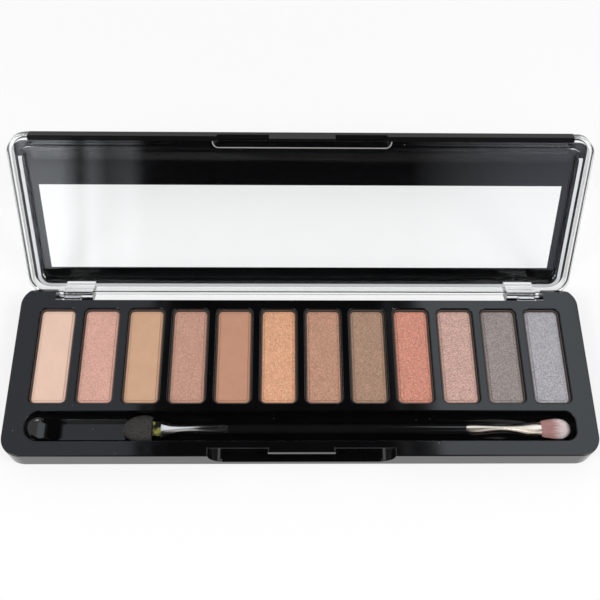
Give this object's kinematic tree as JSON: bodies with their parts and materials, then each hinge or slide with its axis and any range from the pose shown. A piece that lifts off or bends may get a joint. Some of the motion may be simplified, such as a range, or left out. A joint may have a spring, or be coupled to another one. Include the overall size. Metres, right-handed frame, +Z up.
{
  "type": "eyeshadow palette",
  "caption": "Slim make-up palette: black base with a row of pressed powder pans and a trough, clear hinged lid with a black border and window, and a sponge and brush applicator.",
  "frame": {"origin": "centre of the base's underside, on the surface it stands on", "axes": "+X to the right along the length, +Y back towards the hinge, +Z up out of the deck"},
  "size_m": [0.19, 0.0932, 0.0544],
  "materials": {
    "case_black": "high gloss black moulding",
    "cover_black": "fine matte black moulding",
    "glue": "pale pressure-sensitive pad",
    "pin_steel": "plain drawn steel",
    "lid_clear": "clear, polished",
    "film_black": "glossy black film",
    "handle_black": "high gloss black",
    "ferrule_bright": "bright polished",
    "ferrule_champagne": "pale champagne anodised",
    "sponge_foam": "charcoal fine-cell foam",
    "bristle": "dusty pink fine bristle with paler tips",
    "pan_tin": "thin tinplate",
    "shade_01": "matte pressed powder",
    "shade_02": "shimmer pressed powder",
    "shade_03": "matte pressed powder",
    "shade_04": "shimmer pressed powder",
    "shade_05": "matte pressed powder",
    "shade_06": "shimmer pressed powder",
    "shade_07": "shimmer pressed powder",
    "shade_08": "shimmer pressed powder",
    "shade_09": "shimmer pressed powder",
    "shade_10": "shimmer pressed powder",
    "shade_11": "shimmer pressed powder",
    "shade_12": "shimmer pressed powder"
  },
  "bodies": {
    "base": {"base_tray": "case_black", "base_cover": "cover_black", "pan_adhesive": "glue", "hinge_pin_left": "pin_steel", "hinge_pin_right": "pin_steel", "pan_01": "pan_tin", "pan_02": "pan_tin", "pan_03": "pan_tin", "pan_04": "pan_tin", "pan_05": "pan_tin", "pan_06": "pan_tin", "pan_07": "pan_tin", "pan_08": "pan_tin", "pan_09": "pan_tin", "pan_10": "pan_tin", "pan_11": "pan_tin", "pan_12": "pan_tin", "powder_01": "shade_01", "powder_02": "shade_02", "powder_03": "shade_03", "powder_04": "shade_04", "powder_05": "shade_05", "powder_06": "shade_06", "powder_07": "shade_07", "powder_08": "shade_08", "powder_09": "shade_09", "powder_10": "shade_10", "powder_11": "shade_11", "powder_12": "shade_12"},
    "lid": {"lid_shell": "lid_clear", "lid_border_film": "film_black"},
    "applicator": {"applicator_handle": "handle_black", "sponge_ferrule": "ferrule_bright", "sponge_holder": "ferrule_bright", "sponge_tip": "sponge_foam", "brush_ferrule": "ferrule_champagne", "bristle_tuft": "bristle"}
  },
  "joints": [
    {"name": "lid_hinge", "type": "hinge", "parent": "base", "child": "lid", "pos_m": [0, 0.028, 0.0053], "axis": [-1, 0, 0], "range_deg": [-120, 0]},
    {"name": "applicator_lift", "type": "slide", "parent": "base", "child": "applicator", "axis": [0, 0, 1], "range_m": [0, 0.06]}
  ]
}
